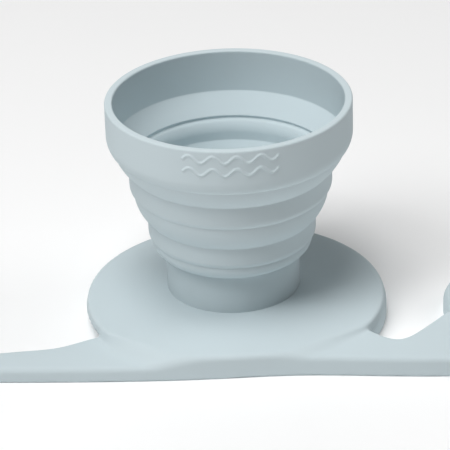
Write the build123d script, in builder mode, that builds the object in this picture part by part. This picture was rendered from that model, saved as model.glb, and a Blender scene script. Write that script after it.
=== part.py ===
from build123d import *
from math import asin, cos, degrees, radians, sin
import os

# A collapsible silicone cup on a lobed base plate, in millimetres, +Z up.
# The origin is on the floor, on the cup's axis. The cup is a concertina: stiff bands that grow
# wider upwards, joined by thin conical folds that turn over when the cup is pushed flat.

# ---- base plate -------------------------------------------------------------------------------
disc_radius = 56.0
disc_centre = (0.5, -8.5)
disc_top = 9.0              # above the floor
disc_lip = 3.6              # thickness of the disc's upper layer
disc_overhang = 5.1         # of the upper layer over the lower one, on the tail's side
tail_top = 5.6
tail_tip_width = 12.6
bar_top = 7.5
chin_edge = 9.0             # rounding of the corner under the head
head_radius = 20.0
head_centre = (97.4, -14.5)
head_top = 9.0
breast_end = (94.0, -65.0)  # where the curve under the head ends, beyond the front edge
plate_edge = 1.2            # rounding of the upper edges of the disc and the head
trim_line = -70.0           # the pieces of the plate are drawn this far, then cut along the front edge
trim_depth = -120.0         # far side of that cut
same_height = 0.01

# ---- cup: radii, outwards from the neck --------------------------------------------------------
neck_radius = 24.8
neck_wall = 2.2
ring_wall = 2.1
ring_gap = 4.15             # from a piece to the bore of the ring that drops over it
rim_gap = 4.8
rim_wall = 2.9              # at the lip
ring_flare = 0.2            # a bore is wider at its foot than at its top by this
rim_flare = 0.2

# ---- cup: heights, upwards from the plate ------------------------------------------------------
neck_height = 15.2
lower_fold_height = 6.2
lower_heel_height = 2.3     # the rounded foot of a band
lower_side_height = 6.0     # the straight part of a band
upper_fold_height = 10.8
upper_heel_height = 2.5
upper_side_height = 6.4
rim_fold_height = 8.5
rim_heel_height = 4.9
rim_side_height = 12.6
lip_height = 2.4            # straight part of the bore at the lip
lip_edge = 1.1

# ---- cup: section of a heel, a fold and a shoulder ---------------------------------------------
ring_tuck = 1.0             # how far a heel turns in
rim_tuck = 1.8
fold_step = 0.4             # small ledge between a heel and the fold under it
lower_bulge = 5.0           # radius of a fold's outer face
upper_bulge = 15.0
rim_bulge = 17.0
shoulder_radius = 8.0       # the rounded inner edge at the top of a band
shoulder_drop = 4.5         # how far below the band's top it starts
shoulder_turn = 40.0        # degrees
hinge_width = 2.0           # from the bore to the bottom of the hinge groove
hinge_rise = 1.3            # from the band's top to the bottom of the hinge groove
shelf_width = 1.75          # from the bore to the start of the fold's inner face
shelf_start = 1.7           # from the band's top to the start of the fold's inner face
shelf_rise = 1.2            # from the upper band's foot to the end of that face

# ---- raised ripples on the front of the rim ----------------------------------------------------
ripple_count = 4
ripple_length = 8.5
ripple_swing = 1.3
ripple_spacing = 4.8        # between the two lines
ripple_line = 1.5
ripple_relief = 0.6
ripple_root = 0.8           # how deep the ripples are rooted in the rim
ripple_rise = 6.8           # from the top of the rim's heel to the middle of the ripples

# ---- worked out --------------------------------------------------------------------------------
foot_radius = disc_radius - disc_overhang / 2
foot_centre = (disc_centre[0] + disc_overhang / 2, disc_centre[1])
disc_foot = disc_top - disc_lip
chest = (head_centre[0] + head_radius, head_centre[1])
neck_top = disc_top + neck_height
lower_foot = neck_top + lower_fold_height
lower_heel = lower_foot + lower_heel_height
lower_top = lower_heel + lower_side_height
upper_foot = lower_top + upper_fold_height
upper_heel = upper_foot + upper_heel_height
upper_top = upper_heel + upper_side_height
rim_foot = upper_top + rim_fold_height
rim_heel = rim_foot + rim_heel_height
rim_top = rim_heel + rim_side_height
neck_bore = neck_radius - neck_wall
lower_bore = neck_radius + ring_gap
lower_radius = lower_bore + ring_wall
upper_bore = lower_radius + ring_gap
upper_radius = upper_bore + ring_wall
rim_bore = upper_radius + rim_gap
rim_radius = rim_bore + rim_wall


def shoulder_point(bore, top, turn):
    """A point on the rounded shoulder, turn degrees round from the bore."""
    across = bore + shoulder_radius * (1 - cos(radians(turn)))
    return (across, top - shoulder_drop + shoulder_radius * sin(radians(turn)))


def shoulder_seam():
    """The turn at which the shoulder crosses the level of the band's top."""
    return degrees(asin(shoulder_drop / shoulder_radius))


def shelf_seam(bore, top, wide_bore, foot):
    """Where a fold's inner face crosses the level of the upper band's foot."""
    share = (foot - top - shelf_start) / (foot + shelf_rise - top - shelf_start)
    return (bore + shelf_width + share * (wide_bore - bore - shelf_width), foot)


def draw_shoulder(bore, top, start, end):
    """Arc of the shoulder between two turns."""
    middle = shoulder_point(bore, top, (start + end) / 2)
    ThreePointArc(shoulder_point(bore, top, start), middle, shoulder_point(bore, top, end))


def draw_ring(radius, bore, seam, foot, heel, top):
    """Section of a ring: straight side, rounded heel, sloping inner foot, flared bore and shoulder."""
    shoulder_end = shoulder_point(bore, top, shoulder_seam())
    Line(shoulder_end, (radius, top))
    Line((radius, top), (radius, heel))
    TangentArc((radius, heel), (radius - ring_tuck, foot), tangent=(0, -1))
    Line((radius - ring_tuck, foot), seam)
    Line(seam, (bore + ring_flare, foot + shelf_rise))
    Line((bore + ring_flare, foot + shelf_rise), (bore, top - shoulder_drop))
    draw_shoulder(bore, top, 0, shoulder_seam())


def draw_fold(radius, bore, top, heel_radius, seam, bulge):
    """Section of a fold: bulged outer face, hinge groove at its lower inner edge, plain inner face."""
    foot = seam[1]
    outer = heel_radius - fold_step
    Line(seam, (outer, foot))
    RadiusArc((outer, foot), (radius, top), bulge)
    Line((radius, top), shoulder_point(bore, top, shoulder_seam()))
    draw_shoulder(bore, top, shoulder_seam(), shoulder_turn)
    groove = (bore + hinge_width, top + hinge_rise)
    Line(shoulder_point(bore, top, shoulder_turn), groove)
    Line(groove, (bore + shelf_width, top + shelf_start))
    Line((bore + shelf_width, top + shelf_start), seam)


lower_seam = shelf_seam(neck_bore, neck_top, lower_bore + ring_flare, lower_foot)
upper_seam = shelf_seam(lower_bore, lower_top, upper_bore + ring_flare, upper_foot)
rim_seam = shelf_seam(upper_bore, upper_top, rim_bore + rim_flare, rim_foot)

# ---- base plate: tail, disc, bar and head in one moulding --------------------------------------
front_edge = [(-110, -52.8), (-42, -56.5), (-8, -56.7), (20, -56.0), (54, -58.5), (82, -60.2), (125, -60.6)]
tail_rear = [(-40, -28.5), (-54, -33.9), (-64, -38.7), (-75, -40.5), (-90, -42.0)]
bar_rear = [(44, -32), (51.5, -39.6), (58.5, -43.8), (66.5, -38.2), (72, -31.8), (79, -23.5)]

with BuildPart() as base_plate:
    with BuildSketch():
        with BuildLine():
            rear = Spline(*tail_rear)
            tip = TangentArc(rear @ 1, rear @ 1 - (0, tail_tip_width), tangent=rear % 1)
            Polyline(tip @ 1, (tail_rear[0][0], trim_line), (0, trim_line), disc_centre, rear @ 0)
        make_face()
    extrude(amount=tail_top)
    with BuildSketch():
        with BuildLine():
            rear = Spline(*bar_rear)
            Polyline(rear @ 1, head_centre, chest)
            breast = TangentArc(chest, breast_end, tangent=(0, -1))
            Polyline(breast @ 1, (0, breast_end[1]), disc_centre, rear @ 0)
        make_face()
    extrude(amount=bar_top)
    with BuildSketch():
        with Locations(head_centre):
            Circle(head_radius)
    extrude(amount=head_top)
    with BuildSketch():
        with Locations(foot_centre):
            Circle(foot_radius)
    extrude(amount=disc_foot)
    with BuildSketch(Plane.XY.offset(disc_foot)):
        with Locations(disc_centre):
            Circle(disc_radius)
    extrude(amount=disc_lip)
    with BuildSketch():
        with BuildLine():
            front = Spline(*front_edge)
            Polyline(front @ 1, (front_edge[-1][0], trim_depth), (front_edge[0][0], trim_depth), front @ 0)
        make_face()
    extrude(amount=disc_top, mode=Mode.SUBTRACT)
    bar_edges = base_plate.edges().filter_by(lambda e: abs(abs((e @ 1).Z - (e @ 0).Z) - bar_top) < same_height)
    fillet(bar_edges.sort_by(lambda e: (e @ 0.5).X - (e @ 0.5).Y)[-1], radius=chin_edge)
    fillet(base_plate.faces().group_by(Axis.Z)[-1].edges(), radius=plate_edge)
base_plate.part.label = "base_plate"

with BuildPart() as neck:
    with BuildSketch(Plane.XZ):
        with BuildLine():
            shoulder_end = shoulder_point(neck_bore, neck_top, shoulder_seam())
            Polyline(shoulder_end, (neck_radius, neck_top), (neck_radius, disc_top), (neck_bore, disc_top))
            Line((neck_bore, disc_top), (neck_bore, neck_top - shoulder_drop))
            draw_shoulder(neck_bore, neck_top, 0, shoulder_seam())
        make_face()
    revolve(axis=Axis.Z)
neck.part.label = "neck"

with BuildPart() as lower_fold:
    with BuildSketch(Plane.XZ):
        with BuildLine():
            draw_fold(neck_radius, neck_bore, neck_top, lower_radius - ring_tuck, lower_seam, lower_bulge)
        make_face()
    revolve(axis=Axis.Z)
lower_fold.part.label = "lower_fold"

with BuildPart() as lower_ring:
    with BuildSketch(Plane.XZ):
        with BuildLine():
            draw_ring(lower_radius, lower_bore, lower_seam, lower_foot, lower_heel, lower_top)
        make_face()
    revolve(axis=Axis.Z)
lower_ring.part.label = "lower_ring"

with BuildPart() as upper_fold:
    with BuildSketch(Plane.XZ):
        with BuildLine():
            draw_fold(lower_radius, lower_bore, lower_top, upper_radius - ring_tuck, upper_seam, upper_bulge)
        make_face()
    revolve(axis=Axis.Z)
upper_fold.part.label = "upper_fold"

with BuildPart() as upper_ring:
    with BuildSketch(Plane.XZ):
        with BuildLine():
            draw_ring(upper_radius, upper_bore, upper_seam, upper_foot, upper_heel, upper_top)
        make_face()
    revolve(axis=Axis.Z)
upper_ring.part.label = "upper_ring"

with BuildPart() as rim_fold:
    with BuildSketch(Plane.XZ):
        with BuildLine():
            draw_fold(upper_radius, upper_bore, upper_top, rim_radius - rim_tuck, rim_seam, rim_bulge)
        make_face()
    revolve(axis=Axis.Z)
rim_fold.part.label = "rim_fold"

# ---- rim with two lines of raised ripples -------------------------------------------------------
half_ripple = ripple_length / 2
arc_radius = ((half_ripple / 2) ** 2 + ripple_swing ** 2) / (2 * ripple_swing)
half_angle = degrees(asin(half_ripple / 2 / arc_radius))
arc_centre = arc_radius - ripple_swing

with BuildPart() as ripples:
    with BuildSketch(Plane.XZ.offset(rim_bore)):
        for row in (-1, 1):
            middle = rim_heel + ripple_rise + row * ripple_spacing / 2
            with BuildLine():
                for step in range(2 * ripple_count):
                    across = (step + 0.5 - ripple_count) * half_ripple
                    side = 1 if step % 2 == 0 else -1
                    centre = (across, middle - side * arc_centre)
                    CenterArc(centre, arc_radius, side * 90 - half_angle, 2 * half_angle)
            trace(line_width=ripple_line)
            with Locations((-ripple_count * half_ripple, middle), (ripple_count * half_ripple, middle)):
                Circle(ripple_line / 2)
    extrude(amount=rim_wall + ripple_relief + 1)
    with BuildSketch(Plane.XY.offset(rim_heel)):
        Circle(rim_radius + ripple_relief)
        Circle(rim_radius - ripple_root, mode=Mode.SUBTRACT)
    extrude(amount=rim_side_height, mode=Mode.INTERSECT)

with BuildPart() as rim:
    with BuildSketch(Plane.XZ):
        with BuildLine():
            Line((rim_bore + lip_edge, rim_top), (rim_radius - lip_edge, rim_top))
            RadiusArc((rim_radius - lip_edge, rim_top), (rim_radius, rim_top - lip_edge), lip_edge)
            Line((rim_radius, rim_top - lip_edge), (rim_radius, rim_heel))
            TangentArc((rim_radius, rim_heel), (rim_radius - rim_tuck, rim_foot), tangent=(0, -1))
            Line((rim_radius - rim_tuck, rim_foot), rim_seam)
            Line(rim_seam, (rim_bore + rim_flare, rim_foot + shelf_rise))
            Line((rim_bore + rim_flare, rim_foot + shelf_rise), (rim_bore, rim_top - lip_height))
            Line((rim_bore, rim_top - lip_height), (rim_bore, rim_top - lip_edge))
            RadiusArc((rim_bore, rim_top - lip_edge), (rim_bore + lip_edge, rim_top), lip_edge)
        make_face()
    revolve(axis=Axis.Z)
    add(ripples.part)
rim.part.label = "rim"

os.makedirs("parts", exist_ok=True)
for piece in (base_plate, neck, lower_fold, lower_ring, upper_fold, upper_ring, rim_fold, rim):
    export_step(piece.part, f"parts/{piece.part.label}.step")
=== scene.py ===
import math

import bpy
import numpy as np
from bpy.props import FloatProperty, FloatVectorProperty, IntProperty, PointerProperty
from mathutils import Matrix, Vector


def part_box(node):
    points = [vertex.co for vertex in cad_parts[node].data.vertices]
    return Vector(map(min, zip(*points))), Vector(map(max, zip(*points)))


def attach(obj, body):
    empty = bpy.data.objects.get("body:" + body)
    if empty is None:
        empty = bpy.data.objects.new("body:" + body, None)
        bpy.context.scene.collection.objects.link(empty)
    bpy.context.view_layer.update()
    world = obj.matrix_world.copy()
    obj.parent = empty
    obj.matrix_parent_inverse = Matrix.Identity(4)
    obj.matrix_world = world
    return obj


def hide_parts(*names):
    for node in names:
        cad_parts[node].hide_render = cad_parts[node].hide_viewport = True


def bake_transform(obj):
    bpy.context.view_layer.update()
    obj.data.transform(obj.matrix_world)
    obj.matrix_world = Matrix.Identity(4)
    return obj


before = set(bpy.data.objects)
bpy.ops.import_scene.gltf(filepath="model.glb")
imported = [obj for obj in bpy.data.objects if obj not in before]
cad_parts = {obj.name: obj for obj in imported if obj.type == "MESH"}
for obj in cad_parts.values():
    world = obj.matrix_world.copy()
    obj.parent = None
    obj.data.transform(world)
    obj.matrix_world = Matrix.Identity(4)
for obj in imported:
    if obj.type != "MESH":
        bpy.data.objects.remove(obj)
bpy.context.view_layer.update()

bl_info = {
    "name": "Collapsible Cup on a Base Plate",
    "version": (1, 0, 0),
    "blender": (4, 5, 0),
    "location": "View3D > Sidebar > Cup",
    "description": "Builds a collapsible silicone cup that stands on a flat lobed plate",
    "category": "Add Mesh",
}

MM = 0.001


# ---- sizes read from the frame ---------------------------------------------------------------------

def reach(node):
    """Bore and largest radius of a CAD node about the cup's axis, and its foot and top. The bore is
    the smallest radius in the node's upper half, above the groove of the fold that meets its foot."""
    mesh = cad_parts[node].data
    points = np.empty(3 * len(mesh.vertices))
    mesh.vertices.foreach_get("co", points)
    points = points.reshape(-1, 3)
    radius = np.hypot(points[:, 0], points[:, 1])
    foot, top = points[:, 2].min(), points[:, 2].max()
    return radius[points[:, 2] > (foot + top) / 2].min(), radius.max(), foot, top


NECK_BORE, NECK_RADIUS, PLATE_TOP, NECK_TOP = reach("neck")
LOWER_BORE, LOWER_RADIUS, LOWER_FOOT, LOWER_TOP = reach("lower_ring")
UPPER_BORE, UPPER_RADIUS, UPPER_FOOT, UPPER_TOP = reach("upper_ring")
RIM_BORE, _, RIM_FOOT, RIM_TOP = reach("rim")
RIM_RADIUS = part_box("rim")[1].x
PLATE_LOW, PLATE_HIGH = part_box("base_plate")


# ---- what a user would change ----------------------------------------------------------------------

class CupSizes(bpy.types.PropertyGroup):
    """Shape of the cup's bands and folds, beyond what the frame gives"""
    crease: FloatProperty(name="Crease", description="Rounding where a fold leaves a band",
                          default=0.5 * MM, unit="LENGTH")
    heel_ledge: FloatProperty(name="Heel Ledge", description="Small step under the rounded foot of a band",
                              default=0.4 * MM, unit="LENGTH")
    ring_tuck: FloatProperty(name="Ring Tuck", description="How far the foot of a ring turns in",
                             default=1.0 * MM, unit="LENGTH")
    rim_tuck: FloatProperty(name="Rim Tuck", description="How far the foot of the rim turns in",
                            default=1.8 * MM, unit="LENGTH")
    lower_heel: FloatProperty(name="Lower Heel", description="Height of the lower ring's rounded foot",
                              default=2.3 * MM, unit="LENGTH")
    upper_heel: FloatProperty(name="Upper Heel", description="Height of the upper ring's rounded foot",
                              default=2.5 * MM, unit="LENGTH")
    rim_heel: FloatProperty(name="Rim Heel", description="Height of the rim's rounded foot",
                            default=4.9 * MM, unit="LENGTH")
    lower_bulge: FloatProperty(name="Lower Bulge", description="Radius of the lower fold's outer face",
                               default=5.0 * MM, unit="LENGTH")
    upper_bulge: FloatProperty(name="Upper Bulge", description="Radius of the upper fold's outer face",
                               default=15.0 * MM, unit="LENGTH")
    rim_bulge: FloatProperty(name="Rim Bulge", description="Radius of the rim fold's outer face",
                             default=17.0 * MM, unit="LENGTH")
    shoulder: FloatProperty(name="Shoulder", description="Radius of the rounded inner edge of a band",
                            default=8.0 * MM, unit="LENGTH")
    lip: FloatProperty(name="Lip Edge", description="Rounding of the lip's two edges",
                       default=0.7 * MM, unit="LENGTH")


class RippleSizes(bpy.types.PropertyGroup):
    """The two lines of raised ripples on the front of the rim"""
    count: IntProperty(name="Ripples", description="Whole waves in a line", default=4, min=1)
    length: FloatProperty(name="Length", description="Length of one wave", default=8.5 * MM, unit="LENGTH")
    swing: FloatProperty(name="Swing", description="Height of a wave above its middle",
                         default=1.3 * MM, unit="LENGTH")
    spacing: FloatProperty(name="Spacing", description="Distance between the two lines",
                           default=4.8 * MM, unit="LENGTH")
    line: FloatProperty(name="Line", description="Width of a line at its foot",
                        default=1.7 * MM, unit="LENGTH")
    relief: FloatProperty(name="Relief", description="How far a line stands out",
                          default=0.38 * MM, unit="LENGTH")
    rise: FloatProperty(name="Rise", description="From the top of the rim's heel to the middle of the lines",
                        default=6.8 * MM, unit="LENGTH")


class PlateSizes(bpy.types.PropertyGroup):
    """Shape of the base plate"""
    disc_radius: FloatProperty(name="Disc Radius", description="Radius of the raised disc",
                               default=56.0 * MM, unit="LENGTH")
    disc_lip: FloatProperty(name="Disc Lip", description="Thickness of the disc's upper layer",
                            default=3.6 * MM, unit="LENGTH")
    overhang: FloatProperty(name="Overhang", description="Of the upper layer on the tail's side",
                            default=5.1 * MM, unit="LENGTH")
    tail_top: FloatProperty(name="Tail Thickness", description="Thickness of the tail",
                            default=5.6 * MM, unit="LENGTH")
    bar_top: FloatProperty(name="Bar Thickness", description="Thickness of the bar",
                           default=7.5 * MM, unit="LENGTH")
    head_radius: FloatProperty(name="Head Radius", description="Radius of the rounded head",
                               default=20.0 * MM, unit="LENGTH")
    edge: FloatProperty(name="Edge", description="Rounding of the upper edges",
                        default=1.9 * MM, unit="LENGTH")
    floor_edge: FloatProperty(name="Floor Edge", description="Rounding of the lower edges",
                              default=0.6 * MM, unit="LENGTH")
    notch: FloatProperty(name="Notch", description="Rounding in plan where an arm leaves the disc",
                         default=1.2 * MM, unit="LENGTH")
    tail_tip: FloatProperty(name="Tail Tip", description="Rounding of the tail's tip in plan",
                            default=6.0 * MM, unit="LENGTH")
    chin: FloatProperty(name="Chin", description="Rounding in plan under the head", default=3.0 * MM,
                        unit="LENGTH")
    ramp_start: FloatProperty(name="Ramp Start", description="Where along Y the disc's step starts to soften",
                              default=-33.0 * MM, unit="LENGTH")
    ramp_length: FloatProperty(name="Ramp Length", description="Way over which the disc's step softens",
                               default=15.0 * MM, unit="LENGTH")
    cell: FloatProperty(name="Cell", description="Spacing of the surface points", default=0.85 * MM,
                        unit="LENGTH")


class SiliconeLook(bpy.types.PropertyGroup):
    """Colour and finish of the silicone"""
    colour: FloatVectorProperty(name="Colour", description="Colour of the silicone", subtype="COLOR",
                                default=(0.535, 0.625, 0.655), min=0.0, max=1.0)
    bloom: FloatVectorProperty(name="Bloom", description="Colour where dust clings", subtype="COLOR",
                               default=(0.60, 0.68, 0.70), min=0.0, max=1.0)
    roughness: FloatProperty(name="Roughness", description="Roughness of the matte finish", default=0.56,
                             min=0.0, max=1.0)
    sheen: FloatProperty(name="Sheen", description="Soft velvety light at grazing angles", default=0.18,
                         min=0.0, max=1.0)


# ---- curves and meshes -----------------------------------------------------------------------------

def arc(centre, radius, start, end, steps=10):
    """Points of a circular arc: centre + radius (cos a, sin a), for a from start to end in degrees."""
    a = np.radians(np.linspace(start, end, steps + 1))
    return np.column_stack([centre[0] + radius * np.cos(a), centre[1] + radius * np.sin(a)])


def arc_between(a, b, radius, steps=10):
    """Arc of that radius from a to b, bulging to the right of the way from a to b.
    Its centre lies left of the chord's middle, at the root of radius squared less half the chord squared."""
    a, b = np.array(a), np.array(b)
    chord = b - a
    length = np.hypot(*chord)
    left = np.array([-chord[1], chord[0]]) / length
    centre = (a + b) / 2 + left * math.sqrt(radius ** 2 - length ** 2 / 4)
    start = math.degrees(math.atan2(*(a - centre)[::-1]))
    end = math.degrees(math.atan2(*(b - centre)[::-1]))
    turn = (end - start + 180) % 360 - 180
    return arc(centre, radius, start, start + turn, steps)


def soften(line, reach_length, steps=60):
    """A line with its corners rounded: points evenly spaced along it, each moved to the mean of the
    line over a window of twice reach_length, so straight stretches stay where they are."""
    length = np.concatenate([[0.0], np.cumsum(np.hypot(*np.diff(line, axis=0).T))])
    fine = np.linspace(0.0, length[-1], 16 * steps + 1)
    dense = np.column_stack([np.interp(fine, length, line[:, i]) for i in (0, 1)])
    total = np.vstack([np.zeros(2), np.cumsum((dense[1:] + dense[:-1]) / 2, axis=0)]) * (fine[1] - fine[0])
    at = np.linspace(0.0, length[-1], steps + 1)
    half = np.minimum(reach_length, np.minimum(at, length[-1] - at))
    out = np.column_stack([np.interp(at, fine, dense[:, i]) for i in (0, 1)])
    inside = half > 1e-9
    for i in (0, 1):
        high = np.interp(at[inside] + half[inside], fine, total[:, i])
        low = np.interp(at[inside] - half[inside], fine, total[:, i])
        out[inside, i] = (high - low) / (2 * half[inside])
    return out


def grid_mesh(name, points):
    """A closed mesh from a grid of points, columns by rows, that joins up both ways."""
    columns, rows = points.shape[:2]
    index = np.arange(columns * rows).reshape(columns, rows)
    right, up = np.roll(index, -1, axis=0), np.roll(index, -1, axis=1)
    faces = np.stack([index, right, np.roll(right, -1, axis=1), up], axis=-1).reshape(-1, 4)
    return mesh_object(name, points.reshape(-1, 3), faces)


def mesh_object(name, points, faces):
    """An object at the origin from points and four-sided faces, smooth, with sharp edges kept."""
    mesh = bpy.data.meshes.new(name)
    mesh.vertices.add(len(points))
    mesh.vertices.foreach_set("co", np.ascontiguousarray(points, np.float32).ravel())
    mesh.loops.add(faces.size)
    mesh.loops.foreach_set("vertex_index", np.ascontiguousarray(faces, np.int32).ravel())
    mesh.polygons.add(len(faces))
    mesh.polygons.foreach_set("loop_start", np.arange(0, faces.size, 4, dtype=np.int32))
    mesh.update(calc_edges=True)
    mesh.validate()
    mesh.shade_smooth()
    mesh.set_sharp_from_angle(angle=math.radians(50))
    piece = bpy.data.objects.new(name, mesh)
    bpy.context.scene.collection.objects.link(piece)
    return piece


def revolve(name, outline, angles):
    """Turns a closed outline of (radius, height) about the Z axis: the point at angle a is
    (radius sin a, -radius cos a, height), so that a = 0 is the front. The outline runs anticlockwise."""
    radius, height = outline[:, 0], outline[:, 1]
    x = np.sin(angles)[:, None] * radius
    y = -np.cos(angles)[:, None] * radius
    return grid_mesh(name, np.stack([x, y, np.broadcast_to(height, x.shape)], axis=-1))


# ---- material --------------------------------------------------------------------------------------

def silicone_grain():
    """Node group: faint clouding and bloom, and the fine satin texture that a blasted mould leaves."""
    group = bpy.data.node_groups.new("silicone_grain", "ShaderNodeTree")
    for name, kind, value in (("Colour", "NodeSocketColor", (0.5, 0.6, 0.65, 1)),
                              ("Bloom", "NodeSocketColor", (0.6, 0.7, 0.7, 1)),
                              ("Roughness", "NodeSocketFloat", 0.55)):
        socket = group.interface.new_socket(name=name, in_out="INPUT", socket_type=kind)
        socket.default_value = value
    for name, kind in (("Colour", "NodeSocketColor"), ("Roughness", "NodeSocketFloat"),
                       ("Height", "NodeSocketFloat")):
        group.interface.new_socket(name=name, in_out="OUTPUT", socket_type=kind)
    nodes, links = group.nodes, group.links
    given, made = nodes.new("NodeGroupInput"), nodes.new("NodeGroupOutput")
    place = nodes.new("ShaderNodeTexCoord")

    def noise(scale, detail):
        texture = nodes.new("ShaderNodeTexNoise")
        texture.inputs["Scale"].default_value = scale
        texture.inputs["Detail"].default_value = detail
        links.new(place.outputs["Object"], texture.inputs["Vector"])
        return texture.outputs["Fac"]

    def spread(value, low, high, to_low, to_high):
        ranged = nodes.new("ShaderNodeMapRange")
        limits = {"From Min": low, "From Max": high, "To Min": to_low, "To Max": to_high}
        for socket, amount in limits.items():
            ranged.inputs[socket].default_value = amount
        links.new(value, ranged.inputs["Value"])
        return ranged.outputs["Result"]

    cloud = noise(38.0, 3.0)
    mix = nodes.new("ShaderNodeMix")
    mix.data_type = "RGBA"
    links.new(spread(cloud, 0.35, 0.75, 0.0, 0.55), mix.inputs["Factor"])
    links.new(given.outputs["Colour"], mix.inputs["A"])
    links.new(given.outputs["Bloom"], mix.inputs["B"])
    links.new(mix.outputs["Result"], made.inputs["Colour"])
    rough = nodes.new("ShaderNodeMath")
    links.new(given.outputs["Roughness"], rough.inputs[0])
    links.new(spread(noise(120.0, 4.0), 0.3, 0.7, -0.05, 0.06), rough.inputs[1])
    links.new(rough.outputs["Value"], made.inputs["Roughness"])
    height = nodes.new("ShaderNodeMath")
    links.new(spread(noise(4200.0, 2.0), 0.0, 1.0, 0.0, 0.5), height.inputs[0])
    links.new(spread(noise(520.0, 3.0), 0.0, 1.0, 0.0, 1.0), height.inputs[1])
    links.new(height.outputs["Value"], made.inputs["Height"])
    return group


def silicone(look):
    """Pastel silicone: matte, slightly soft to light, with a velvety sheen."""
    material = bpy.data.materials.new("silicone")
    material.use_nodes = True
    nodes, links = material.node_tree.nodes, material.node_tree.links
    shader = nodes["Principled BSDF"]
    grain = nodes.new("ShaderNodeGroup")
    grain.node_tree = silicone_grain()
    grain.inputs["Colour"].default_value = (*look.colour, 1)
    grain.inputs["Bloom"].default_value = (*look.bloom, 1)
    grain.inputs["Roughness"].default_value = look.roughness
    links.new(grain.outputs["Colour"], shader.inputs["Base Color"])
    links.new(grain.outputs["Roughness"], shader.inputs["Roughness"])
    bump = nodes.new("ShaderNodeBump")
    bump.inputs["Strength"].default_value = 0.12
    bump.inputs["Distance"].default_value = 0.12 * MM
    links.new(grain.outputs["Height"], bump.inputs["Height"])
    links.new(bump.outputs["Normal"], shader.inputs["Normal"])
    shader.inputs["IOR"].default_value = 1.42
    shader.inputs["Specular IOR Level"].default_value = 0.42
    shader.inputs["Sheen Weight"].default_value = look.sheen
    shader.inputs["Sheen Roughness"].default_value = 0.5
    shader.inputs["Subsurface Weight"].default_value = 0.12
    shader.inputs["Subsurface Radius"].default_value = (1.0, 1.0, 1.0)
    shader.inputs["Subsurface Scale"].default_value = 1.2 * MM
    return material


def silicone_material():
    """The one silicone material, made the first time it is asked for."""
    return bpy.data.materials.get("silicone") or silicone(bpy.context.scene.silicone_look)


def finish_piece(piece, node):
    """Gives a piece its silicone and lets it stand for its CAD node."""
    piece.data.materials.append(silicone_material())
    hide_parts(node)


# ---- cup -------------------------------------------------------------------------------------------

TURN = np.linspace(0.0, 2 * math.pi, 240, endpoint=False)
LINE_STEPS = 420            # points along the cup's outer and inner line
INNER_CREASE = 0.6          # rounding of the inner creases, as a share of the outer ones
FINE_TURNS, COARSE_TURNS, SIDE_ROWS = 190, 210, 70          # of the rim, at and off the ripples
SHOULDER_DROP = 4.5 * MM    # below a band's top, where its rounded inner edge starts
SHOULDER_TURN = 31.0        # degrees that this edge turns
HINGE_WIDTH, HINGE_RISE = 2.1 * MM, 0.7 * MM    # bottom of the groove at a fold's lower edge
SHELF_WIDTH, SHELF_START = 1.6 * MM, 1.7 * MM   # where the fold's inner face starts
SHELF_RISE = 1.2 * MM       # above the upper band's foot, where that face ends
FLARE = 0.2 * MM            # how much wider a bore is at its foot
LIP_HEIGHT = 2.4 * MM


class Stage:
    """One fold and the band above it, from the band below: the sizes that the outlines need."""

    def __init__(self, below, above, heel, tuck, bulge):
        self.bore, self.radius, self.top = below
        self.wide_bore, self.wide_radius, self.foot, self.end = above
        self.heel = self.foot + heel
        self.tuck, self.bulge = tuck, bulge

    def outer(self, sizes):
        """Outer line upwards from the band below: the fold's bulged face, the small ledge, the heel's
        arc, which is tangent to the upright side, and the side."""
        heel_foot = (self.wide_radius - self.tuck, self.foot)
        fold_end = (self.wide_radius - self.tuck - sizes.heel_ledge, self.foot)
        height = self.heel - self.foot
        heel_radius = (self.tuck ** 2 + height ** 2) / (2 * self.tuck)
        sweep = math.degrees(math.asin(height / heel_radius))
        return np.vstack([
            arc_between((self.radius, self.top), fold_end, self.bulge, 16),
            [heel_foot],
            arc((self.wide_radius - heel_radius, self.heel), heel_radius, -sweep, 0, 14)[1:],
            [(self.wide_radius, self.end)],
        ])

    def inner(self, sizes):
        """Inner line upwards from the band below: its rounded shoulder, the hinge groove, the fold's
        plain face and the upper band's flared bore."""
        centre = (self.bore + sizes.shoulder, self.top - SHOULDER_DROP)
        return np.vstack([
            arc(centre, sizes.shoulder, 180, 180 - SHOULDER_TURN, 12),
            [(self.bore + HINGE_WIDTH, self.top + HINGE_RISE)],
            [(self.bore + SHELF_WIDTH, self.top + SHELF_START)],
            [(self.wide_bore + FLARE, self.foot + SHELF_RISE)],
        ])


def stages(sizes):
    """The three stages of the cup, upwards."""
    neck = (NECK_BORE, NECK_RADIUS, NECK_TOP)
    lower = (LOWER_BORE, LOWER_RADIUS, LOWER_TOP)
    upper = (UPPER_BORE, UPPER_RADIUS, UPPER_TOP)
    return (
        Stage(neck, (LOWER_BORE, LOWER_RADIUS, LOWER_FOOT, LOWER_TOP), sizes.lower_heel, sizes.ring_tuck,
              sizes.lower_bulge),
        Stage(lower, (UPPER_BORE, UPPER_RADIUS, UPPER_FOOT, UPPER_TOP), sizes.upper_heel, sizes.ring_tuck,
              sizes.upper_bulge),
        Stage(upper, (RIM_BORE, RIM_RADIUS, RIM_FOOT, RIM_TOP), sizes.rim_heel, sizes.rim_tuck,
              sizes.rim_bulge),
    )


def cup_lines(sizes):
    """The cup's whole outer and inner lines, upwards from the plate to the lip, with soft creases."""
    three = stages(sizes)
    outer = np.vstack([[(NECK_RADIUS, PLATE_TOP)]] + [stage.outer(sizes) for stage in three])
    inner = np.vstack([[(NECK_BORE, PLATE_TOP)]] + [stage.inner(sizes) for stage in three])
    outer = np.vstack([outer[:-1], [(RIM_RADIUS, RIM_TOP - sizes.lip)]])
    inner = np.vstack([inner, [(RIM_BORE, RIM_TOP - LIP_HEIGHT)], [(RIM_BORE, RIM_TOP - sizes.lip)]])
    return soften(outer, sizes.crease, LINE_STEPS), soften(inner, INNER_CREASE * sizes.crease, LINE_STEPS)


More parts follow.
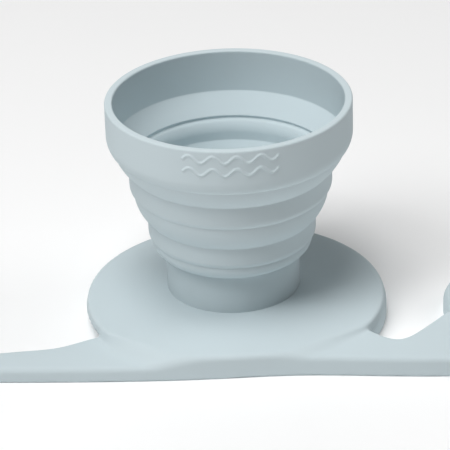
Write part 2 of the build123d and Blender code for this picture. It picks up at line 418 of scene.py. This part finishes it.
def stretch(line, start, end):
    """The part of a line that climbs between two heights, cut exactly at both."""
    height = np.maximum.accumulate(line[:, 1] + 1e-9 * np.arange(len(line)))
    ends = [(np.interp(z, height, line[:, 0]), z) for z in (start, end)]
    between = (height > start + 1e-5) & (height < end - 1e-5)
    return np.vstack([ends[:1], line[between], ends[1:]])


def wall(sizes, start, end):
    """Closed outline of the cup's wall between two heights: up the outer line and down the inner."""
    outer, inner = cup_lines(sizes)
    return np.vstack([stretch(outer, start, end), stretch(inner, start, end)[::-1]])


class CUP_OT_neck(bpy.types.Operator):
    """Builds the short neck that joins the cup to the plate"""
    bl_idname = "cup.neck"
    bl_label = "Neck"

    def execute(self, context):
        outline = wall(context.scene.cup_sizes, PLATE_TOP, NECK_TOP)
        piece = revolve("neck_tube", outline, TURN)
        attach(piece, "root")
        finish_piece(piece, "neck")
        return {"FINISHED"}


class CUP_OT_rings(bpy.types.Operator):
    """Builds the two stiff rings between the folds"""
    bl_idname = "cup.rings"
    bl_label = "Rings"

    def execute(self, context):
        sizes = context.scene.cup_sizes
        for node, foot, top in (("lower_ring", LOWER_FOOT, LOWER_TOP), ("upper_ring", UPPER_FOOT, UPPER_TOP)):
            piece = revolve(f"{node}_band", wall(sizes, foot, top), TURN)
            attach(piece, node)
            finish_piece(piece, node)
        return {"FINISHED"}


class CUP_OT_folds(bpy.types.Operator):
    """Builds the three soft folds, which turn over when the cup is pushed flat"""
    bl_idname = "cup.folds"
    bl_label = "Folds"

    def execute(self, context):
        sizes = context.scene.cup_sizes
        for node, below, above, start, end in (
                ("lower_fold", "root", "lower_ring", NECK_TOP, LOWER_FOOT),
                ("upper_fold", "lower_ring", "upper_ring", LOWER_TOP, UPPER_FOOT),
                ("rim_fold", "upper_ring", "rim", UPPER_TOP, RIM_FOOT)):
            piece = revolve(f"{node}_cone", wall(sizes, start, end), TURN)
            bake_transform(piece)
            finish_piece(piece, node)
        return {"FINISHED"}


class CUP_OT_rim(bpy.types.Operator):
    """Builds the wide rim with its rounded lip and the raised ripples"""
    bl_idname = "cup.rim"
    bl_label = "Rim"

    def execute(self, context):
        sizes, ripples = context.scene.cup_sizes, context.scene.ripple_sizes
        piece = revolve("rim_band", self.outline(sizes, ripples), self.angles(ripples))
        self.raise_ripples(piece, sizes, ripples)
        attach(piece, "rim")
        finish_piece(piece, "rim")
        return {"FINISHED"}

    def outline(self, sizes, ripples):
        """The rim's wall, with fine rows on its outer side, closed over the lip by a half circle drawn
        out to the wall's thickness."""
        outer, inner = cup_lines(sizes)
        side_foot = RIM_FOOT + sizes.rim_heel
        outer = stretch(outer, RIM_FOOT, side_foot)
        rows = np.linspace(side_foot, RIM_TOP - sizes.lip, SIDE_ROWS)[1:]
        side = np.column_stack([np.full(len(rows), RIM_RADIUS), rows])
        lip_out = arc((RIM_RADIUS - sizes.lip, RIM_TOP - sizes.lip), sizes.lip, 0, 90, 8)[1:]
        lip_in = arc((RIM_BORE + sizes.lip, RIM_TOP - sizes.lip), sizes.lip, 90, 180, 8)[:-1]
        inner = stretch(inner, RIM_FOOT, RIM_TOP - sizes.lip)[::-1]
        return np.vstack([outer, side, lip_out, lip_in, inner])

    def angles(self, ripples):
        """Even steps round the rim, much finer where the ripples are."""
        half = (ripples.count * ripples.length / 2 + 2 * ripples.line) / RIM_RADIUS
        fine = np.linspace(-half, half, FINE_TURNS)
        coarse = np.linspace(half, 2 * math.pi - half, COARSE_TURNS)[1:-1]
        return np.concatenate([fine, coarse])

    def raise_ripples(self, piece, sizes, ripples):
        """Moves points of the front outwards. A line's middle is a sine wave, s = swing sin(2 pi x / length).
        A point's distance from it is the gap in height times the cosine of the wave's slope, joined
        beyond the line's ends with the distance past the end. The relief falls from the middle of the
        line to its foot as a squared cosine."""
        count = len(piece.data.vertices)
        points = np.empty(3 * count, np.float32)
        piece.data.vertices.foreach_get("co", points)
        points = points.reshape(-1, 3).astype(float)
        across = RIM_RADIUS * np.arctan2(points[:, 0], -points[:, 1])
        radius = np.hypot(points[:, 0], points[:, 1])
        half = ripples.count * ripples.length / 2
        phase = 2 * math.pi * (np.clip(across, -half, half) + half) / ripples.length
        wave = ripples.swing * np.sin(phase)
        slope = ripples.swing * 2 * math.pi / ripples.length * np.cos(phase)
        slope = np.where(np.abs(across) > half, 0.0, slope)
        past = np.maximum(np.abs(across) - half, 0.0)
        lift = np.zeros(count)
        for row in (-1, 1):
            middle = RIM_FOOT + sizes.rim_heel + ripples.rise + row * ripples.spacing / 2
            gap = (points[:, 2] - middle - wave) / np.sqrt(1 + slope ** 2)
            share = np.clip(np.hypot(gap, past) / (ripples.line / 2), 0, 1)
            lift = np.maximum(lift, ripples.relief * np.cos(share * math.pi / 2) ** 2)
        outside = radius > RIM_RADIUS - 0.01 * MM
        scale = np.where(outside, 1 + lift / radius, 1.0)
        points[:, :2] *= scale[:, None]
        piece.data.vertices.foreach_set("co", points.astype(np.float32).ravel())
        piece.data.update()


# ---- base plate ------------------------------------------------------------------------------------

FRONT_EDGE = [(-110, -52.8), (-42, -56.5), (-8, -56.7), (20, -56.0), (54, -58.5), (82, -60.2), (125, -60.6)]
TAIL_REAR = [(-110, -43.4), (-90, -42.0), (-75, -40.5), (-64, -38.7), (-54, -33.9), (-40, -28.5)]
BAR_REAR = [(30, -24), (44, -32), (51.5, -39.6), (58.5, -43.8), (66.5, -38.2), (72, -31.8), (79, -23.5),
            (90, -12)]
DISC_CENTRE = (0.5 * MM, -8.5 * MM)
HEAD_CENTRE = (97.4 * MM, -14.5 * MM)
BREAST_RADIUS = 66.2 * MM   # of the curve from the head down to the front edge
STEP_MIDDLE, STEP_WIDTH = -0.3 * MM, 1.8 * MM               # the disc's step, measured from its edge
TAIL_RAMP_SHIFT, BAR_RAMP_SHIFT = -2.3 * MM, -4.6 * MM      # how far the ramp moves in at the front
TAIL_RAMP_SPREAD, BAR_RAMP_SPREAD = 7.4 * MM, 4.0 * MM      # how much the ramp widens at the front
HEAD_STEP_MIDDLE, HEAD_STEP_WIDTH = -0.6 * MM, 2.4 * MM
SLOPE_STEP = 0.1 * MM       # over which the slope of the upper surface is taken
SETTLE_STEP = 0.02 * MM     # over which the slope of the distance is taken
SETTLE_LIMIT = 0.3          # longest move of a point, in cells
SETTLE_ROUNDS = 4
FLAT_CELL = 0.75            # height of a cell, in widths


def smooth_line(points, x):
    """Height and slope at x of the natural cubic spline through points given in millimetres."""
    knots = np.array(points, float) * MM
    h, rise = np.diff(knots[:, 0]), np.diff(knots[:, 1]) / np.diff(knots[:, 0])
    bend = np.zeros(len(knots))
    matrix = np.diag(2 * (h[:-1] + h[1:])) + np.diag(h[1:-1], 1) + np.diag(h[1:-1], -1)
    bend[1:-1] = np.linalg.solve(matrix, 6 * np.diff(rise))
    inside = np.clip(x, knots[0, 0], knots[-1, 0])
    i = np.clip(np.searchsorted(knots[:, 0], inside) - 1, 0, len(h) - 1)
    a, b = inside - knots[i, 0], knots[i + 1, 0] - inside
    value = (bend[i] * b ** 3 + bend[i + 1] * a ** 3) / (6 * h[i])
    value += (knots[i, 1] / h[i] - bend[i] * h[i] / 6) * b
    value += (knots[i + 1, 1] / h[i] - bend[i + 1] * h[i] / 6) * a
    slope = (bend[i + 1] * a ** 2 - bend[i] * b ** 2) / (2 * h[i])
    slope += rise[i] - (bend[i + 1] - bend[i]) * h[i] / 6
    return value, slope


def edge_line(points, x, y):
    """Distance of (x, y) from a smooth line, positive above it: the gap in y over the root of
    1 + slope squared."""
    height, slope = smooth_line(points, x)
    return (y - height) / np.sqrt(1 + slope ** 2)


def meet(a, b, radius):
    """Both: the larger of two distances, with the edge between them rounded to that radius."""
    corner = np.hypot(np.maximum(a + radius, 0), np.maximum(b + radius, 0))
    return np.minimum(-radius, np.maximum(a, b)) + corner


def join(a, b, radius):
    """Either: the smaller of two distances, with the corner between them filled to that radius."""
    share = np.clip(0.5 + 0.5 * (b - a) / radius, 0, 1)
    return b + (a - b) * share - radius * share * (1 - share)


def ease(t):
    """Smooth step from 0 to 1: 3 t squared less 2 t cubed, held outside."""
    t = np.clip(t, 0, 1)
    return t * t * (3 - 2 * t)


class CUP_OT_plate(bpy.types.Operator):
    """Builds the base plate: raised disc, thin tail, bar and rounded head in one moulding"""
    bl_idname = "cup.plate"
    bl_label = "Base Plate"

    def execute(self, context):
        sizes = context.scene.plate_sizes
        points, faces = self.level_surface(sizes)
        piece = mesh_object("plate_body", points, faces)
        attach(piece, "root")
        finish_piece(piece, "base_plate")
        return {"FINISHED"}

    def top(self, sizes, x, y):
        """Height of the upper surface: the tail's or the bar's, raised to the disc's top inside the disc
        and to the head's inside the head. The step at the disc is steep at the rear, and towards the
        front it widens into a ramp and moves in from the disc's edge."""
        left = x < DISC_CENTRE[0]
        disc = np.hypot(x - DISC_CENTRE[0], y - DISC_CENTRE[1]) - sizes.disc_radius
        head = np.hypot(x - HEAD_CENTRE[0], y - HEAD_CENTRE[1]) - sizes.head_radius
        forward = ease((sizes.ramp_start - y) / sizes.ramp_length)
        middle = STEP_MIDDLE + forward * np.where(left, TAIL_RAMP_SHIFT, BAR_RAMP_SHIFT)
        width = STEP_WIDTH + forward * np.where(left, TAIL_RAMP_SPREAD, BAR_RAMP_SPREAD)
        on_disc = ease(0.5 - (disc - middle) / width)
        on_head = ease(0.5 - (head - HEAD_STEP_MIDDLE) / HEAD_STEP_WIDTH)
        inside = np.maximum(on_disc, on_head)
        base = np.where(left, sizes.tail_top, sizes.bar_top)
        return base + (PLATE_TOP - base) * inside

    def body(self, sizes, x, y, z):
        """Signed distance from the plate's surface, negative inside. In plan it is the disc, the tail,
        the bar and the head joined. Below the disc's lip a smaller foot takes the disc's place. Each
        layer is met by the upper surface, and the whole by the front edge and the floor."""
        disc = np.hypot(x - DISC_CENTRE[0], y - DISC_CENTRE[1]) - sizes.disc_radius
        foot_radius = sizes.disc_radius - sizes.overhang / 2
        foot = np.hypot(x - DISC_CENTRE[0] - sizes.overhang / 2, y - DISC_CENTRE[1]) - foot_radius
        head = np.hypot(x - HEAD_CENTRE[0], y - HEAD_CENTRE[1]) - sizes.head_radius
        breast = np.hypot(x - HEAD_CENTRE[0] - sizes.head_radius + BREAST_RADIUS, y - HEAD_CENTRE[1])
        front = -edge_line(FRONT_EDGE, x, y)
        tail = meet(edge_line(TAIL_REAR, x, y), PLATE_LOW.x - x, sizes.tail_tip)
        tail = np.maximum(tail, x - DISC_CENTRE[0])
        bar = np.maximum(edge_line(BAR_REAR, x, y), DISC_CENTRE[0] - x)
        bar = meet(bar, breast - BREAST_RADIUS, sizes.chin)
        arms = np.minimum(np.minimum(tail, bar), head)

        level = self.top(sizes, x, y)
        slope_x = (self.top(sizes, x + SLOPE_STEP, y) - level) / SLOPE_STEP
        slope_y = (self.top(sizes, x, y + SLOPE_STEP) - level) / SLOPE_STEP
        above = (z - level) / np.sqrt(1 + slope_x ** 2 + slope_y ** 2)
        upper = meet(join(arms, disc, sizes.notch), above, sizes.edge)
        upper = meet(upper, PLATE_TOP - sizes.disc_lip - z, sizes.floor_edge)
        lower = meet(join(arms, foot, sizes.notch), above, sizes.edge)
        solid = meet(np.minimum(upper, lower), front, sizes.edge)
        return meet(solid, PLATE_LOW.z - z, sizes.floor_edge)

    def level_surface(self, sizes):
        """Where the distance is nought, as a net of four-sided faces. Each cell of a grid that the surface
        crosses gets one point, the mean of where it crosses the cell's edges, moved along the slope of
        the distance until it lies on the surface. Each grid edge that it crosses gets one face."""
        cell = sizes.cell
        low = np.array(PLATE_LOW) - 2 * cell
        high = np.array(PLATE_HIGH) + 2 * cell
        steps = np.array([cell, cell, FLAT_CELL * cell])
        axes = [low[i] + steps[i] * np.arange(int((high[i] - low[i]) / steps[i]) + 2) for i in range(3)]
        x, y, z = np.meshgrid(*axes, indexing="ij")
        value = self.body(sizes, x, y, z)
        cells = np.array(value.shape) - 1
        total, hits = np.zeros((*cells, 3)), np.zeros(cells)
        crossings = []
        for axis in range(3):
            before = [slice(None)] * 3
            after = [slice(None)] * 3
            before[axis], after[axis] = slice(None, -1), slice(1, None)
            a, b = value[tuple(before)], value[tuple(after)]
            crossed = (a < 0) != (b < 0)
            share = np.where(crossed, a / np.where(crossed, a - b, 1.0), 0.0)
            place = [grid[tuple(before)].copy() for grid in (x, y, z)]
            place[axis] = place[axis] + share * steps[axis]
            place = np.stack(place, axis=-1)
            others = [i for i in range(3) if i != axis]
            for shift in ((0, 0), (0, 1), (1, 0), (1, 1)):
                window = [slice(None)] * 3
                for other, s in zip(others, shift):
                    window[other] = slice(s, cells[other] + s)
                hit = crossed[tuple(window)]
                total += np.where(hit[..., None], place[tuple(window)], 0.0)
                hits += hit
            crossings.append((axis, crossed, a < 0))
        used = hits > 0
        index = np.full(cells, -1)
        index[used] = np.arange(used.sum())
        points = total[used] / hits[used][:, None]
        for _ in range(SETTLE_ROUNDS):
            points = self.settle(sizes, points)
        return points, self.net_faces(index, crossings)

    def settle(self, sizes, points):
        """One step towards the surface: back along the slope by the distance over the slope squared."""
        value = self.body(sizes, *points.T)
        slope = np.stack([(self.body(sizes, *(points + SETTLE_STEP * way).T) - value) / SETTLE_STEP
                          for way in np.eye(3)], axis=-1)
        size = np.maximum((slope ** 2).sum(axis=1), 0.25)
        move = -(value / size)[:, None] * slope
        limit = SETTLE_LIMIT * sizes.cell
        length = np.maximum(np.sqrt((move ** 2).sum(axis=1)), 1e-12)
        return points + move * np.minimum(1, limit / length)[:, None]

    def net_faces(self, index, crossings):
        """Joins the four cells round each crossed edge, turned so that the face looks outwards."""
        faces = []
        for axis, crossed, starts_inside in crossings:
            p, q = [i for i in range(3) if i != axis]
            inner = [slice(None)] * 3
            inner[p] = inner[q] = slice(1, -1)
            where = np.argwhere(crossed[tuple(inner)])
            where[:, p] += 1
            where[:, q] += 1
            corners = []
            for dp, dq in ((-1, -1), (0, -1), (0, 0), (-1, 0)):
                at = where.copy()
                at[:, p] += dp
                at[:, q] += dq
                corners.append(index[tuple(at.T)])
            quads = np.stack(corners, axis=-1)
            flip = starts_inside[tuple(where.T)] == (axis == 1)
            quads[flip] = quads[flip][:, ::-1]
            faces.append(quads)
        return np.vstack(faces)


# ---- stage -----------------------------------------------------------------------------------------

class StageSizes(bpy.types.PropertyGroup):
    """Camera and light"""
    distance: FloatProperty(name="Camera Distance", description="From the cup's middle to the camera",
                            default=0.9642, unit="LENGTH")
    pitch: FloatProperty(name="Camera Pitch", description="How far the camera looks down",
                         default=math.radians(27.45),
                         unit="ROTATION")
    roll: FloatProperty(name="Camera Roll", description="Tilt of the camera about its own view",
                        default=math.radians(-1.833), unit="ROTATION")
    lens: FloatProperty(name="Lens", description="Focal length in millimetres on a 36 mm sensor",
                        default=208.0)
    top: FloatProperty(name="Top Light", description="Power of the light overhead, in watts", default=7.0)
    key: FloatProperty(name="Key Light", description="Power of the high light at the left, in watts",
                       default=8.0)
    left: FloatProperty(name="Left Light", description="Power of the low light at the left, in watts",
                        default=9.7)
    right: FloatProperty(name="Right Light", description="Power of the light at the right, in watts",
                         default=4.3)
    back: FloatProperty(name="Back Light", description="Power of the light behind the cup, in watts",
                        default=1.7)
    room: FloatProperty(name="Room Light", description="Strength of the even light all round", default=0.01)


LOOK_AT = Vector((-2.656, 0.0, 32.556)) * MM
CUP_MIDDLE = Vector((0.0, 0.0, 0.03))
LAMP_DISTANCE = 1.6
FLOOR_SIDE = 40.0
FLOOR_GLOW = 0.04           # keeps the far floor from going black
LAMP_SIDE = 0.7


def aim(thing, target):
    """Turns a light so that its -Z looks at the target."""
    thing.rotation_euler = (target - thing.location).to_track_quat("-Z", "Y").to_euler()


class CUP_OT_stage(bpy.types.Operator):
    """Sets the pale floor, the soft studio light and the camera"""
    bl_idname = "cup.stage"
    bl_label = "Stage"

    def execute(self, context):
        sizes = context.scene.stage_sizes
        self.floor()
        self.lights(context.scene, sizes)
        self.camera(context.scene, sizes)
        context.scene.view_settings.view_transform = "Standard"
        return {"FINISHED"}

    def floor(self):
        """A large pale plane a hair under the plate, which glows a little."""
        half = FLOOR_SIDE / 2
        mesh = bpy.data.meshes.new("floor")
        level = PLATE_LOW.z - 0.05 * MM
        corners = [(-half, -half, level), (half, -half, level), (half, half, level), (-half, half, level)]
        mesh.from_pydata(corners, [], [(0, 1, 2, 3)])
        floor = bpy.data.objects.new("floor", mesh)
        bpy.context.scene.collection.objects.link(floor)
        paint = bpy.data.materials.new("pale_floor")
        paint.use_nodes = True
        shader = paint.node_tree.nodes["Principled BSDF"]
        shader.inputs["Base Color"].default_value = (0.97, 0.97, 0.97, 1)
        shader.inputs["Roughness"].default_value = 0.9
        shader.inputs["Specular IOR Level"].default_value = 0.0
        shader.inputs["Emission Color"].default_value = (1.0, 1.0, 1.0, 1)
        shader.inputs["Emission Strength"].default_value = FLOOR_GLOW
        mesh.materials.append(paint)

    def lights(self, scene, sizes):
        """Five soft square lamps at one distance, each turned round from the front and raised."""
        for name, turn, height, power in (("top_light", -45, 80, sizes.top),
                                          ("key_light", -30, 70, sizes.key),
                                          ("left_light", -55, 50, sizes.left),
                                          ("right_light", 100, 38, sizes.right),
                                          ("back_light", 180, 40, sizes.back)):
            lamp = bpy.data.lights.new(name, "AREA")
            lamp.size, lamp.energy = LAMP_SIDE, power
            light = bpy.data.objects.new(name, lamp)
            turn, height = math.radians(turn), math.radians(height)
            across = math.cos(height)
            way = Vector((math.sin(turn) * across, -math.cos(turn) * across, math.sin(height)))
            light.location = CUP_MIDDLE + way * LAMP_DISTANCE
            aim(light, CUP_MIDDLE)
            scene.collection.objects.link(light)
        world = bpy.data.worlds.new("room")
        world.use_nodes = True
        background = world.node_tree.nodes["Background"]
        background.inputs["Color"].default_value = (1.0, 1.0, 1.0, 1)
        background.inputs["Strength"].default_value = sizes.room
        scene.world = world

    def camera(self, scene, sizes):
        """A long lens that looks down at the cup from the front."""
        view = bpy.data.cameras.new("camera")
        view.sensor_width, view.lens = 36.0, sizes.lens
        camera = bpy.data.objects.new("camera", view)
        turned = Matrix.Rotation(math.pi / 2 - sizes.pitch, 4, "X") @ Matrix.Rotation(sizes.roll, 4, "Z")
        back = (turned @ Vector((0, 0, 1, 0))).to_3d()
        camera.matrix_world = Matrix.Translation(LOOK_AT + back * sizes.distance) @ turned
        scene.collection.objects.link(camera)
        scene.camera = camera


# ---- add-on ----------------------------------------------------------------------------------------

class CUP_PT_panel(bpy.types.Panel):
    """Lists the pieces of the cup"""
    bl_label = "Collapsible Cup"
    bl_idname = "CUP_PT_panel"
    bl_space_type = "VIEW_3D"
    bl_region_type = "UI"
    bl_category = "Cup"

    def draw(self, context):
        layout = self.layout
        for operator in OPERATORS:
            layout.operator(operator.bl_idname)
        for group in GROUPS:
            settings = getattr(context.scene, group)
            for name in settings.__annotations__:
                layout.prop(settings, name)


GROUPS = {"cup_sizes": CupSizes, "ripple_sizes": RippleSizes, "plate_sizes": PlateSizes,
          "silicone_look": SiliconeLook, "stage_sizes": StageSizes}
OPERATORS = (CUP_OT_stage, CUP_OT_plate, CUP_OT_neck, CUP_OT_rings, CUP_OT_folds, CUP_OT_rim)


def register():
    for group in (*GROUPS.values(), *OPERATORS, CUP_PT_panel):
        bpy.utils.register_class(group)
    for name, group in GROUPS.items():
        setattr(bpy.types.Scene, name, PointerProperty(type=group))


def unregister():
    for name in GROUPS:
        delattr(bpy.types.Scene, name)
    for group in (CUP_PT_panel, *OPERATORS[::-1], *list(GROUPS.values())[::-1]):
        bpy.utils.unregister_class(group)


def main():
    register()
    bpy.ops.cup.stage()
    bpy.ops.cup.plate()
    bpy.ops.cup.neck()
    bpy.ops.cup.rings()
    bpy.ops.cup.folds()
    bpy.ops.cup.rim()


if __name__ == "__main__":
    main()
